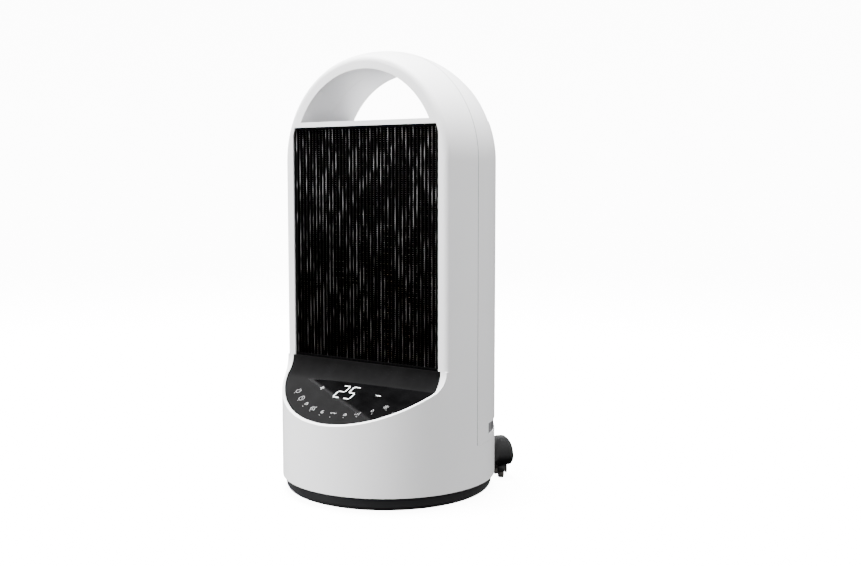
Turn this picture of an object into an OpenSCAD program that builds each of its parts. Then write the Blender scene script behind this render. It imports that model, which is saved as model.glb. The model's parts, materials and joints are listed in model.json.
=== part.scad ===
/* [Body] */
// Outer radius of the round body and its dome
body_r = 100; // [98:1:102]
// Height of the dome's centre above the floor
centre_h = 305; // [300:1:312]
// Distance from the turning axis to the flat front face
face_y = 38; // [36:0.5:40]
// Radius along the edge of the flat face
face_fillet = 6; // [4:0.5:7]
// Wall thickness of the moulded shells
wall = 3; // [2.5:0.5:3]

/* [Handle] */
// Radius of the round tunnel under the carrying handle
tunnel_r = 82; // [80:0.5:83]
// Height of the tunnel's flat floor
tunnel_floor = 341; // [340:0.5:343]
// Distance behind the axis at which the handle's rear rim starts to round off
rim_y = 36; // [33:0.5:38]
// Radius of the handle's rear rim
rim_r = 5.5; // [5:0.25:6]

/* [Grille] */
// Width of the outlet opening
grille_w = 167; // [160:1:168]
// Height of the outlet's lower edge
grille_bottom = 121.5; // [120:0.5:123]
// Height of the outlet's upper edge
grille_top = 336.5; // [334:0.5:337]
// Spacing of the outlet's upright slats
slat_pitch = 4; // [3.5:0.25:6]

/* [Console] */
// Slope of the control panel from level
console_slope = 29; // [28:0.5:30]
// Radius of the hollow curve between the face and the sloping panel
console_fillet = 22; // [20:0.5:23]
// Width of the white rim around the panel
console_rim = 2.4; // [2:0.2:2.8]

/* [Base] */
// Radius of the dark foot at its upper edge
foot_r = 98; // [96:0.5:99]
// Height of the dark foot
foot_h = 12.2; // [12:0.1:12.4]
// Height of the white body's lower edge
shell_bottom = 13.7; // [13.6:0.1:14]

/* [Fan] */
// Distance of the fan's axis behind the turning axis
fan_y = 36; // [34:1:38]
// Outer radius of the fan wheel
fan_r = 32; // [28:1:33]
// Number of blades on the fan wheel
blade_count = 24; // [16:1:28]

/* [Swing drive] */
// Teeth on the fixed swing gear
gear_teeth = 60;
// Teeth on the swing pinion
pinion_teeth = 15;
// Tooth module of the swing drive
gear_module = 1.2; // [1.15:0.05:1.2]

/* [Cord] */
// Diameter of the mains lead
cord_d = 7; // [6.5:0.5:7]
// Radius of the stored coil at the middle of its turns
coil_r = 39.8; // [39.4:0.2:40.2]

/* [Hidden] */
$fn = 96;

big = 300;
fit_gap = 0.3;
seam_gap = 0.2;
ring_top = 50;
arc_steps = 16;
overlap = 20;

// Inner surface of the shells
inner_r = body_r - wall;
inner_face_y = face_y - wall;
inner_fillet = face_fillet - wall;
slab_bottom = tunnel_floor - wall;
handle_r = tunnel_r + rim_r;

// Outlet duct, heater and fan casing
duct_half = 76;
duct_bottom = 124;
duct_top = 332;
duct_wall = 1.5;
duct_front = -33;
duct_back = -5;
casing_top = 332;
casing_r = fan_r + 4;
heater_half = 70;
heater_bottom = 130;
heater_top = 326;
heater_front = -25;
heater_back = -11;
bar_pitch = 28;
bar_w = 8;
shaft_r = 3;
shaft_gap = 0.05;

// Turning base
boss_r = 26;
boss_top = 24;
turntable_z = 14.3;
turntable_t = 3;
pitch_r = gear_teeth * gear_module / 2;
pinion_r = pinion_teeth * gear_module / 2;
pinion_y = pitch_r + pinion_r + 0.15;
gear_z = 24;
gear_t = 5;
swing_motor_y = 52;
screw_ring = 88;
seam_post_x = 90;
seam_screws_z = [86, 160, 234, 300];
foot_round = 6;
foot_low = 1;
foot_wall = 2.8;
cover_z = 9.6;
gear_screw_ring = 22.8;
base_screw_ring = 84;
pad_ring = 78;
pad_r = 7.9;
pad_h = 2.2;

// Lower rear vent and the filter opening
vent_z = 56.5;
vent_h = 10;
vent_from = 13;
filter_half = 62;
filter_bottom = 92;
filter_top = 296;
rocker_z = 36;
rocker_pin_y = 93.4;
rocker_pin_r = 1.2;

// Tilt plunger, in the foot on the left
plunger_pos = [-62, 30];
plunger_r = 4;

// Mains lead: gland, coil and plug on the floor behind the heater
gland_y = 93;
gland_end = 124;
gland_z = 6.6;
gland_r = 4.5;
gland_flange_r = 5;
coil_at = [-63, 158];
coil_half_w = 13.7;
coil_h = 14;
board_out = 30;
board_drop = 29.7;
plug_ring = 111.5;
plug_turn = 50;
plug_z = 13;
plug_size = [19, 30, 20];
relief_len = 22;
relief_tilt = 20;
lead_points = [
    [0, 124, 6.6], [0, 130, 6.2], [-1, 136, 5.6], [-3, 142, 4.5], [-6, 149, 3.8], [-10, 156, 3.6],
    [-13, 163, 3.6]
];
tail_points = [
    [-31, 120, 10.5], [-24.6, 124.5, 11.1], [-17.5, 127.8, 12.2], [-10, 129.8, 13.3], [-2, 130.5, 13.8],
    [6, 129.8, 13.4], [13.3, 127.8, 12.4], [20.4, 124.5, 11.3], [26.8, 120.3, 10.7], [33, 116.3, 11.1],
    [39.4, 112.1, 12.9], [45.5, 107.4, 16]
];
tube_sides = 10;

// ---------------------------------------------------------------- outlines

// Part of a disc on the side of two rays through its centre, left open between them
module disc_behind(r, right, left) {
    intersection() {
        circle(r);
        polygon([[0, 0], right * 3, [3 * r, 3 * r], [-3 * r, 3 * r], left * 3]);
    }
}

// Level section of the body: a disc cut by the flat face, with rounded corners
module plan(r, front, fillet) {
    corner_y = -front + fillet;
    corner_x = sqrt(pow(r - fillet, 2) - pow(corner_y, 2));
    disc_behind(r, [corner_x, corner_y], [-corner_x, corner_y]);
    polygon([
        [0, overlap], [corner_x, corner_y], [corner_x, -front], [-corner_x, -front], [-corner_x, corner_y]
    ]);
    for (side = [-1, 1])
        translate([side * corner_x, corner_y]) circle(fillet);
}

// Right-hand half of the body's level section
module half_plan(r, front, fillet) {
    intersection() {
        plan(r, front, fillet);
        translate([0, -big]) square([big, 2 * big]);
    }
}

// Section across the carrying handle, from the tunnel out to the dome
module handle_plan(r, front, fillet, inside, nose) {
    corner_y = -front + fillet;
    corner_x = sqrt(pow(r - fillet, 2) - pow(corner_y, 2));
    difference() {
        union() {
            intersection() {
                circle(r);
                polygon([[0, 0], [corner_x, corner_y] * 3, [3 * r, 0], [handle_r, rim_y] * 3]);
            }
            polygon([[0, overlap], [corner_x, corner_y], [corner_x, -front], [0, -front]]);
            translate([corner_x, corner_y]) circle(fillet);
            polygon([[inside, 0], [inside, rim_y], [handle_r, rim_y], [handle_r, 0]]);
            translate([handle_r, rim_y]) circle(nose);
        }
        translate([-big, -big]) square([big + inside, 2 * big]);
    }
}

// Turns a half section about the body's front-to-back axis, over the upper half
module dome_of() {
    translate([0, 0, centre_h]) rotate([90, 0, 0])
        rotate_extrude(angle = 180, $fn = 180) mirror([0, 1, 0]) children();
}

// Box that keeps what lies between two heights
module level_slab(bottom, top) {
    translate([-big, -big, bottom]) cube([2 * big, 2 * big, top - bottom]);
}

// Side outline of the console, at a depth below its surface
module console_outline(depth) {
    centre = [-face_y - console_fillet, grille_bottom];
    reach = console_fillet + depth;
    foot_point = centre + reach * [sin(console_slope), -cos(console_slope)];
    polygon(concat(
        [[big, grille_bottom], [big, -big], [-big, -big]],
        [[-big, foot_point[1] - tan(console_slope) * (foot_point[0] + big)]],
        [for (i = [0:arc_steps]) centre + reach * [
            cos((i / arc_steps - 1) * (90 - console_slope)),
            sin((i / arc_steps - 1) * (90 - console_slope))
        ]]
    ));
}

// Solid below and behind the console's surface
module console_block(depth) {
    translate([-big, 0, 0]) rotate([90, 0, 90]) linear_extrude(2 * big) console_outline(depth);
}

// ---------------------------------------------------------------- shells

// Closed solid with the outer shape of both shells, open above the tunnel's floor
module outer_solid() {
    translate([0, 0, shell_bottom])
        linear_extrude(centre_h - shell_bottom) plan(body_r, face_y, face_fillet);
    intersection() {
        dome_of() half_plan(body_r, face_y, face_fillet);
        level_slab(centre_h, tunnel_floor);
    }
    intersection() {
        dome_of() handle_plan(body_r, face_y, face_fillet, tunnel_r, rim_r);
        level_slab(tunnel_floor, centre_h + body_r + 1);
    }
    intersection() {
        translate([0, 0, shell_bottom]) cylinder(h = grille_bottom - shell_bottom, r = body_r);
        console_block(0);
    }
}

// Space inside the shells
module inner_space() {
    translate([0, 0, shell_bottom - 1])
        linear_extrude(centre_h - shell_bottom + 1) plan(inner_r, inner_face_y, inner_fillet);
    intersection() {
        dome_of() half_plan(inner_r, inner_face_y, inner_fillet);
        level_slab(centre_h, slab_bottom);
    }
    intersection() {
        dome_of() handle_plan(inner_r, inner_face_y, inner_fillet, tunnel_r + wall, rim_r - wall);
        level_slab(slab_bottom, centre_h + body_r + 1);
    }
    intersection() {
        translate([0, 0, shell_bottom - 1])
            cylinder(h = grille_bottom - shell_bottom - wall + 1, r = inner_r);
        console_block(wall);
    }
}

// Outlet opening, its upper corners following the arch
module outlet_outline(gap) {
    half = grille_w / 2 - gap;
    intersection() {
        translate([-half, grille_bottom + gap]) square([2 * half, grille_top - grille_bottom - 2 * gap]);
        union() {
            translate([0, centre_h]) circle(87 - gap);
            translate([-half, grille_bottom]) square([2 * half, centre_h - grille_bottom]);
        }
    }
}

// Prism of the outlet opening between two distances from the axis
module outlet_prism(gap, front, back) {
    translate([0, back, 0]) rotate([90, 0, 0]) linear_extrude(back - front) outlet_outline(gap);
}

// Console panel's solid, set into the white rim
module panel_solid(gap, depth) {
    intersection() {
        difference() {
            console_block(0);
            console_block(depth);
        }
        translate([0, 0, 60]) cylinder(h = 100, r = body_r - console_rim - gap);
        translate([-86 + gap, -big, 0]) cube([172 - 2 * gap, big, big]);
    }
}

// Band of the round wall that the rear vent takes up
module vent_band(r_in, r_out, from, z, h) {
    translate([0, 0, z])
        rotate_extrude(angle = 180 - 2 * from, start = from) translate([r_in, 0]) square([r_out - r_in, h]);
}

module both_shells() {
    difference() {
        outer_solid();
        inner_space();
    }
}

// Posts along the side seam that the shells' screws go through
module seam_posts(from, to) {
    for (side = [-1, 1], z = seam_screws_z)
        translate([side * seam_post_x, from, z]) {
            rotate([-90, 0, 0]) cylinder(h = to - from, r = 4);
            translate([side > 0 ? 0 : -7.5, 0, -1]) cube([7.5, to - from, 2]);
        }
}

module seam_bores(from, to) {
    for (side = [-1, 1], z = seam_screws_z)
        translate([side * seam_post_x, from, z]) rotate([-90, 0, 0]) cylinder(h = to - from, r = 1.4);
}

// Posts inside the lower ring that the turntable is screwed to
module ring_posts() {
    for (a = [45:90:315])
        rotate(a) translate([screw_ring, 0, turntable_z + turntable_t]) {
            cylinder(h = 24, r = 4.5);
            translate([0, -1, 0]) cube([inner_r + 0.5 - screw_ring, 2, 24]);
        }
}

module front_shell() {
    color("white") difference() {
        union() {
            difference() {
                both_shells();
                translate([-big, -seam_gap / 2, ring_top]) cube([2 * big, big, big * 2]);
            }
            ring_posts();
            seam_posts(-14, -seam_gap / 2);
        }
        seam_bores(-10, 1);
        outlet_prism(0, -face_y - 1, -inner_face_y + 1);
        panel_solid(0, wall + 1);
        translate([-12.2, inner_r - 6, rocker_z - 8.2]) cube([24.4, 20, 16.4]);
        for (a = [45:90:315])
            rotate(a) translate([screw_ring, 0, shell_bottom]) cylinder(h = 20, r = 1.5);
    }
}

module rear_shell() {
    color("white") difference() {
        union() {
            intersection() {
                both_shells();
                translate([-big, seam_gap / 2, ring_top + seam_gap]) cube([2 * big, big, big * 2]);
            }
            seam_posts(seam_gap / 2, 8);
        }
        seam_bores(-1, 9);
        vent_band(inner_r - 4, body_r + 5, vent_from, vent_z, vent_h);
        translate([-filter_half, 0, filter_bottom])
            cube([2 * filter_half, big, filter_top - filter_bottom]);
    }
}

module shell_screws() {
    color("silver") for (side = [-1, 1], z = seam_screws_z)
        translate([side * seam_post_x, 8.1, z]) rotate([90, 0, 0]) {
            cylinder(h = 16, r = 1.35);
            translate([0, 0, -1.8]) cylinder(h = 1.8, r = 2.8);
        }
}

module vent_strip() {
    color("gray") difference() {
        vent_band(inner_r - 2, inner_r + 1, vent_from + 0.3, vent_z + 0.2, vent_h - 0.4);
        for (a = [20:4:160])
            rotate(a) translate([inner_r - 8, -0.9, vent_z + 2.5]) cube([20, 1.8, vent_h - 5]);
    }
}

// ---------------------------------------------------------------- rear filter

module filter_cover() {
    color("whitesmoke") difference() {
        intersection() {
            translate([0, 0, filter_bottom + fit_gap])
                difference() {
                    cylinder(h = filter_top - filter_bottom - 2 * fit_gap, r = body_r);
                    translate([0, 0, -1]) cylinder(h = big, r = inner_r);
                }
            translate([-filter_half + fit_gap, 0, 0]) cube([2 * (filter_half - fit_gap), big, big * 2]);
        }
        for (z = [104:6:278])
            translate([-52, 20, z]) cube([104, big, 3]);
    }
}

module filter_mesh() {
    color("dimgray") difference() {
        intersection() {
            translate([0, 0, filter_bottom + 3]) difference() {
                cylinder(h = filter_top - filter_bottom - 6, r = inner_r - 0.1);
                translate([0, 0, -1]) cylinder(h = big, r = inner_r - 2.6);
            }
            translate([-58, 0, 0]) cube([116, big, big * 2]);
        }
        for (x = [-50:20:30], z = [100:19:271])
            translate([x, 20, z]) cube([17, big, 16]);
    }
}

// ---------------------------------------------------------------- outlet and console

// Outlet grille seen from the front: a rim, upright slats and two level ties
module grille_outline() {
    difference() {
        outlet_outline(0.1);
        intersection() {
            outlet_outline(2.5);
            union() {
                for (i = [-21:20])
                    translate([i * slat_pitch + 0.7, grille_bottom]) square([slat_pitch - 1.4, big]);
            }
        }
    }
    for (z = [grille_bottom + 72, grille_bottom + 144])
        translate([-grille_w / 2 + 1, z]) square([grille_w - 2, 1.6]);
}

module front_grille() {
    color("black") translate([0, -inner_face_y + 1.5, 0]) rotate([90, 0, 0])
        linear_extrude(face_y - inner_face_y + 0.5) grille_outline();
}

module control_panel() {
    color("dimgray") panel_solid(0.15, wall);
}

// Places children on the underside of the sloping panel, x to the right and y up the slope
module on_console(depth) {
    translate([0, -face_y - board_out, grille_bottom - board_drop])
        rotate([console_slope, 0, 0]) translate([0, 0, -depth]) children();
}

module touch_board() {
    color("darkgreen") on_console(9) translate([-48, -18, 0]) cube([96, 30, 1.6]);
    color("black") on_console(7.4) translate([-12, -2, 0]) cube([36, 12, 3]);
    color("khaki") for (x = [-40:10:40])
        on_console(7.4) translate([x, -12, 0]) cylinder(h = 2.6, r = 3.2);
}

module power_board() {
    color("darkgreen") translate([-52, -52, 24]) cube([104, 1.6, 44]);
    color("black") translate([-40, -50.4, 32]) cube([22, 16, 26]);
    color("orange") translate([-8, -50.4, 34]) cube([12, 10, 18]);
    color("navy") for (x = [16, 34])
        translate([x, -50.4, 44]) rotate([-90, 0, 0]) cylinder(h = 14, r = 7);
    color("black") for (x = [-30, 30])
        translate([x - 4, -60, turntable_z + turntable_t]) cube([8, 12, 12]);
}

// ---------------------------------------------------------------- heater

module heat_duct() {
    color("silver") difference() {
        translate([-duct_half, duct_front, duct_bottom])
            cube([2 * duct_half, duct_back - duct_front, duct_top - duct_bottom]);
        translate([-duct_half + duct_wall, duct_front - 1, duct_bottom + duct_wall])
            cube([2 * (duct_half - duct_wall), big, duct_top - duct_bottom - 2 * duct_wall]);
    }
}

module ptc_frame() {
    color("ivory") difference() {
        translate([-duct_half + duct_wall, heater_front, duct_bottom + duct_wall])
            cube([
                2 * (duct_half - duct_wall), heater_back - heater_front,
                duct_top - duct_bottom - 2 * duct_wall
            ]);
        translate([-heater_half, heater_front - 1, heater_bottom])
            cube([2 * heater_half, big, heater_top - heater_bottom]);
    }
}

module ptc_bars() {
    color("silver") for (i = [-2:2])
        translate([i * bar_pitch - bar_w / 2, heater_front + 1, heater_bottom])
            cube([bar_w, heater_back - heater_front - 2, heater_top - heater_bottom]);
}

// One pack of level cooling fins between two side strips
module fin_pack(w) {
    strip = 0.6;
    step = 5;
    tall = heater_top - heater_bottom - 1;
    translate([0, heater_back - 2, heater_bottom + 0.5]) rotate([90, 0, 0])
        linear_extrude(heater_back - heater_front - 4) difference() {
            square([w, tall]);
            for (z = [1:step:tall - step])
                translate([strip, z]) square([w - 2 * strip, step - 0.8]);
        }
}

module ptc_fins() {
    gap_w = bar_pitch - bar_w;
    color("lightgray") for (i = [-2:1])
        translate([i * bar_pitch + bar_w / 2, 0, 0]) fin_pack(gap_w);
    color("lightgray") for (side = [-1, 1])
        translate([side * (2 * bar_pitch + bar_w / 2 + 5) - 4.75, 0, 0]) fin_pack(9.5);
}

module thermal_cutout() {
    color("tan") translate([0, -18, duct_top]) cylinder(h = 4, r = 8);
    color("silver") for (side = [-1, 1])
        translate([side * 12 - 3, -20, duct_top]) cube([6, 4, 1]);
}

// ---------------------------------------------------------------- fan

// Section of the fan's casing: a round wrap that widens to the outlet duct
module casing_outline(t) {
    translate([0, fan_y]) circle(casing_r + t);
    polygon([
        [-casing_r - t, fan_y - 6], [casing_r + t, fan_y - 6], [duct_half - 1.5 + t, duct_back + fit_gap],
        [-duct_half + 1.5 - t, duct_back + fit_gap]
    ]);
}

module fan_housing() {
    color("gray") translate([0, 0, duct_bottom]) linear_extrude(casing_top - duct_bottom) difference() {
        casing_outline(1.5);
        casing_outline(-0.5);
        translate([-29, fan_y + 12]) square([58, 60]);
        translate([-duct_half + 2, duct_back]) square([2 * duct_half - 4, 3]);
    }
    color("gray") for (z = [duct_bottom, casing_top - 2])
        translate([0, 0, z]) difference() {
            linear_extrude(2) casing_outline(1.5);
            translate([0, fan_y, -1]) cylinder(h = 4, r = z > 200 ? 8 : 12);
        }
}

module top_bush() {
    color("goldenrod") translate([0, fan_y, casing_top - 2]) difference() {
        union() {
            cylinder(h = 5, r = 7.9);
            translate([0, 0, 2]) cylinder(h = 1.5, r = 11);
        }
        translate([0, 0, -1]) cylinder(h = 8, r = shaft_r + shaft_gap);
    }
}

module fan_shaft() {
    color("silver") translate([0, fan_y, 96]) cylinder(h = casing_top + 2 - 96, r = shaft_r);
}

// One curved blade of the cross-flow wheel
module blade_outline() {
    intersection() {
        difference() {
            circle(9);
            circle(8);
        }
        translate([0, 3]) square([10, 6]);
    }
}

module fan_wheel() {
    wheel_bottom = 129;
    wheel_top = 327;
    color("darkgray") translate([0, fan_y, 0]) {
        for (z = [wheel_bottom, 178, 228, 278, wheel_top - 2])
            translate([0, 0, z]) difference() {
                cylinder(h = 2, r = fan_r);
                translate([0, 0, -1])
                    cylinder(h = 4, r = z == wheel_bottom || z == wheel_top - 2 ? shaft_r : fan_r - 9);
            }
        for (i = [0:blade_count - 1])
            rotate(i * 360 / blade_count) translate([fan_r - 8.9, -5, wheel_bottom + 1])
                linear_extrude(wheel_top - wheel_bottom - 2) blade_outline();
        for (z = [wheel_bottom, wheel_top - 8])
            translate([0, 0, z]) difference() {
                cylinder(h = 8, r = 8);
                translate([0, 0, -1]) cylinder(h = 10, r = shaft_r);
            }
    }
}

module fan_motor() {
    color("silver") translate([0, fan_y, 62]) difference() {
        union() {
            cylinder(h = 44, r = 27);
            translate([0, 0, 44]) cylinder(h = 3, r = 9);
        }
        translate([0, 0, 32]) cylinder(h = 20, r = shaft_r + shaft_gap);
    }
}

module motor_bracket() {
    color("darkgray") translate([0, fan_y, 0]) {
        difference() {
            translate([0, 0, 106]) cylinder(h = 2.5, r = 34);
            translate([0, 0, 105]) cylinder(h = 5, r = 9.2);
        }
        for (a = [30:120:270])
            rotate(a) translate([30, 0, 108]) cylinder(h = duct_bottom - 108, r = 3.5);
    }
}

// ---------------------------------------------------------------- turning base

// Toothed disc with straight-sided teeth, one tooth on the +X axis when phase is 0
module toothed_disc(teeth, phase) {
    root = teeth * gear_module / 2 - 1.25 * gear_module;
    tip = teeth * gear_module / 2 + 0.95 * gear_module;
    step = 360 / teeth;
    tooth = [[-0.34, root], [-0.13, tip], [0.13, tip], [0.34, root]];
    rotate(phase) polygon([for (i = [0:teeth - 1]) for (p = tooth)
        p[1] * [cos((i + p[0]) * step), sin((i + p[0]) * step)]]);
}

module turntable() {
    color("dimgray") difference() {
        union() {
            translate([0, 0, turntable_z]) cylinder(h = turntable_t, r = inner_r - 0.2);
            translate([0, 0, turntable_z]) cylinder(h = boss_top - 0.3 - turntable_z, r = boss_r + 5);
            for (side = [-1, 1])
                translate([side * 29, swing_motor_y, turntable_z]) cylinder(h = 17, r = 4);
        }
        translate([0, 0, turntable_z - 1]) cylinder(h = 20, r = boss_r + 0.06);
        for (a = [45:90:315])
            rotate(a) translate([screw_ring, 0, turntable_z - 1]) cylinder(h = 6, r = 2.2);
        rotate(-90) translate([60, -12, turntable_z - 1]) cube([14, 24, 6]);
    }
}

module turntable_screws() {
    color("silver") for (a = [45:90:315])
        rotate(a) translate([screw_ring, 0, 0]) {
            translate([0, 0, turntable_z + 0.1]) cylinder(h = 14, r = 1.5);
            translate([0, 0, turntable_z + 0.1]) cylinder(h = 1.8, r = 2.1);
        }
}

module swing_gear() {
    color("ivory") translate([0, 0, gear_z]) difference() {
        linear_extrude(gear_t) toothed_disc(gear_teeth, 90);
        translate([0, 0, -1]) cylinder(h = gear_t + 2, r = 19.5);
        for (a = [0:120:240])
            rotate(a) translate([gear_screw_ring, 0, -1]) cylinder(h = gear_t + 2, r = 1.5);
    }
}

module gear_screws() {
    color("silver") for (a = [0:120:240])
        rotate(a) translate([gear_screw_ring, 0, gear_z - 8]) {
            cylinder(h = gear_t + 8, r = 1.45);
            translate([0, 0, gear_t + 8]) cylinder(h = 1.8, r = 2.6);
        }
}

module swing_pinion() {
    color("ivory") translate([0, pinion_y, gear_z]) difference() {
        linear_extrude(gear_t) toothed_disc(pinion_teeth, -90 + 180 / pinion_teeth);
        translate([0, 0, -1]) cylinder(h = gear_t + 2, r = shaft_r + shaft_gap);
    }
}

module swing_motor() {
    color("silver") {
        translate([0, swing_motor_y, 31.3]) cylinder(h = 14, r = 24);
        translate([0, pinion_y, gear_z - 1]) cylinder(h = 9, r = shaft_r);
        for (side = [-1, 1])
            translate([side * 29 - (side < 0 ? 5 : 9), swing_motor_y - 5, 31.3]) cube([14, 10, 1.5]);
    }
}

module base_cover() {
    color("dimgray") difference() {
        union() {
            translate([0, 0, cover_z]) cylinder(h = 2.4, r = 94);
            translate([0, 0, cover_z]) cylinder(h = boss_top - cover_z, r = boss_r);
            for (a = [0:90:270])
                rotate(a + 20) translate([base_screw_ring, 0, 4]) cylinder(h = 6, r = 4);
        }
        translate([0, 0, 8]) cylinder(h = 20, r = 17);
        translate([-6, gland_y - 5, cover_z - 1]) cube([12, 20, 5]);
        for (a = [0:120:240])
            rotate(a) translate([gear_screw_ring, 0, 12]) cylinder(h = 20, r = 1.45);
        for (a = [0:90:270])
            rotate(a + 20) translate([base_screw_ring, 0, 0]) cylinder(h = 9, r = 1.5);
    }
}

module glide_ring() {
    color("white") translate([0, 0, 12]) difference() {
        cylinder(h = 2, r = 82);
        translate([0, 0, -1]) cylinder(h = 4, r = 76);
    }
}

// Half section of the foot, shrunk by a skin thickness
module foot_section(skin) {
    corner = foot_round - skin;
    low = foot_low + skin;
    centre = [foot_r - 1.2 - foot_round, foot_low + foot_round];
    polygon([
        [0, low], [centre[0], low], centre, [centre[0] + corner, centre[1]],
        [foot_r - skin, foot_h + skin * 0.2], [0, foot_h + skin * 0.2]
    ]);
    translate(centre) intersection() {
        circle(corner);
        translate([0, -corner]) square(corner);
    }
}

module base_foot() {
    color("#2a2a2a") difference() {
        rotate_extrude() difference() {
            foot_section(0);
            foot_section(foot_wall);
            translate([-big, -big]) square([big, 2 * big]);
        }
        for (a = [45:90:315])
            rotate(a) translate([pad_ring, 0, 0]) cylinder(h = pad_h, r = pad_r + 0.1);
        for (a = [0:90:270])
            rotate(a + 20) translate([base_screw_ring, 0, -1]) cylinder(h = 8, r = 1.8);
        translate([plunger_pos[0], plunger_pos[1], -1]) cylinder(h = 10, r = plunger_r + fit_gap);
        translate([0, gland_y - 8, gland_z]) rotate([-90, 0, 0]) cylinder(h = 20, r = gland_r + 0.1);
        translate([0, gland_y - 4.2, gland_z]) rotate([-90, 0, 0])
            cylinder(h = 2.8, r = gland_flange_r + 0.1);
    }
}

module rubber_feet() {
    color("black") for (a = [45:90:315])
        rotate(a) translate([pad_ring, 0, 0]) cylinder(h = pad_h, r = pad_r);
}

module base_weight() {
    color("gray") translate([0, 0, 3.8]) difference() {
        cylinder(h = 5, r = 56);
        translate([0, 0, -1]) cylinder(h = 7, r = 20);
    }
}

module base_screws() {
    color("silver") for (a = [0:90:270])
        rotate(a + 20) translate([base_screw_ring, 0, 1.4]) {
            cylinder(h = 7.4, r = 1.45);
            cylinder(h = 1.2, r = 1.75);
        }
}

module tilt_plunger() {
    color("white") translate([plunger_pos[0], plunger_pos[1], 0]) {
        cylinder(h = 5, r = plunger_r);
        translate([0, 0, 5]) cylinder(h = 2, r = 2);
    }
}

module tilt_spring() {
    color("silver") translate([plunger_pos[0], plunger_pos[1], 7.4]) difference() {
        cylinder(h = 2, r = 3);
        translate([0, 0, -1]) cylinder(h = 4, r = 2.3);
    }
}

module tilt_switch() {
    color("black") translate([plunger_pos[0] - 18, plunger_pos[1] - 5, 3.8]) cube([12, 10, 5.4]);
}

// ---------------------------------------------------------------- power switch

module rocker_frame() {
    color("black") difference() {
        intersection() {
            translate([-12, inner_r - 14, rocker_z - 8]) cube([24, 17.6, 16]);
            cylinder(h = big, r = body_r + 0.6);
        }
        translate([-9.4, inner_r - 10, rocker_z - 5.4]) cube([18.8, 30, 10.8]);
        translate([0, rocker_pin_y, rocker_z - 6.6]) cylinder(h = 13.2, r = rocker_pin_r + shaft_gap);
    }
}

module power_rocker() {
    color("black") {
        translate([0, inner_r - 2, rocker_z]) intersection() {
            translate([-8.6, -5, -5]) cube([17.2, 20, 10]);
            translate([-6, -1.6, -6]) cylinder(h = 12, r = 16);
            translate([6, -1.6, -6]) cylinder(h = 12, r = 16);
            translate([0, -11, -6]) cylinder(h = 12, r = 16.5);
        }
        translate([0, rocker_pin_y, rocker_z - 6.4]) cylinder(h = 12.8, r = rocker_pin_r);
    }
}

// ---------------------------------------------------------------- mains lead

module cord_gland() {
    color("black") {
        translate([0, gland_y - 3, gland_z]) rotate([-90, 0, 0]) cylinder(h = 9, r = gland_r);
        translate([0, gland_y - 4, gland_z]) rotate([-90, 0, 0]) cylinder(h = 2.4, r = gland_flange_r);
        translate([0, gland_y + 5, gland_z]) rotate([-90, 0, 0])
            cylinder(h = gland_end - gland_y - 5, r1 = 5.6, r2 = cord_d / 2 + 0.4);
    }
}

// Unit vector along a route at point i
function heading(route, i) =
    let (a = route[max(i - 1, 0)], b = route[min(i + 1, len(route) - 1)]) (b - a) / norm(b - a);

// Ring of points across a route at point i
function ring_at(route, i, r) =
    let (
        along = heading(route, i),
        side = cross([0, 0, 1], along) / norm(cross([0, 0, 1], along)),
        up = cross(along, side)
    )
    [for (k = [0:tube_sides - 1])
        let (turn = k * 360 / tube_sides) route[i] + r * (cos(turn) * side + sin(turn) * up)];

// Round tube swept along a route
module tube(route, r) {
    rings = len(route);
    n = tube_sides;
    sides = [for (i = [0:rings - 2], k = [0:n - 1])
        [i * n + k, i * n + (k + 1) % n, (i + 1) * n + (k + 1) % n, (i + 1) * n + k]];
    ends = [[for (k = [n - 1:-1:0]) k], [for (k = [0:n - 1]) (rings - 1) * n + k]];
    polyhedron([for (i = [0:rings - 1]) each ring_at(route, i, r)], concat(sides, ends));
}

module cord_lead() {
    color("black") tube(lead_points, cord_d / 2);
}

module cord_tail() {
    color("black") tube(tail_points, cord_d / 2);
}

module cord_coil() {
    color("black") translate(coil_at) rotate_extrude() translate([coil_r - coil_half_w, 0])
        square([2 * coil_half_w, coil_h]);
}

module plug_frame() {
    rotate(plug_turn) translate([plug_ring, 0, plug_z]) children();
}

module plug_body() {
    color("black") plug_frame() {
        translate([-plug_size[0] / 2, -plug_size[1] / 2, 0]) cube(plug_size);
        translate([-plug_size[0] / 2 + 2.5, -plug_size[1] / 2 + 3, plug_size[2]])
            cube([plug_size[0] - 5, plug_size[1] - 6, 8]);
        translate([0, plug_size[1] / 2 - 2, 10]) rotate([-90 - relief_tilt, 0, 0])
            cylinder(h = relief_len + 2, r1 = 6, r2 = cord_d / 2 + 0.4);
    }
}

module plug_pins() {
    color("silver") plug_frame() {
        for (side = [-1, 1])
            translate([-2, side * 7, -plug_z]) rotate(side * 30) translate([-3.15, -0.8, 0])
                cube([6.3, 1.6, plug_z]);
        translate([-0.8, -3.15, -plug_z + 3]) translate([5, 0, 0]) cube([1.6, 6.3, plug_z - 3]);
    }
}

base_foot();
rubber_feet();
base_cover();
base_weight();
base_screws();
glide_ring();
swing_gear();
gear_screws();
tilt_plunger();
tilt_spring();
tilt_switch();
cord_gland();
cord_lead();
cord_coil();
cord_tail();
plug_body();
plug_pins();
front_shell();
rear_shell();
shell_screws();
turntable();
turntable_screws();
front_grille();
control_panel();
touch_board();
power_board();
heat_duct();
ptc_frame();
ptc_bars();
ptc_fins();
thermal_cutout();
fan_housing();
fan_motor();
motor_bracket();
top_bush();
fan_wheel();
fan_shaft();
swing_motor();
swing_pinion();
vent_strip();
filter_cover();
filter_mesh();
rocker_frame();
power_rocker();
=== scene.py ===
"""Looks of the ceramic space heater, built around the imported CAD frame. Everything is in metres."""

import json
import math

import bmesh
import bpy
from mathutils import Matrix, Vector


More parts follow.
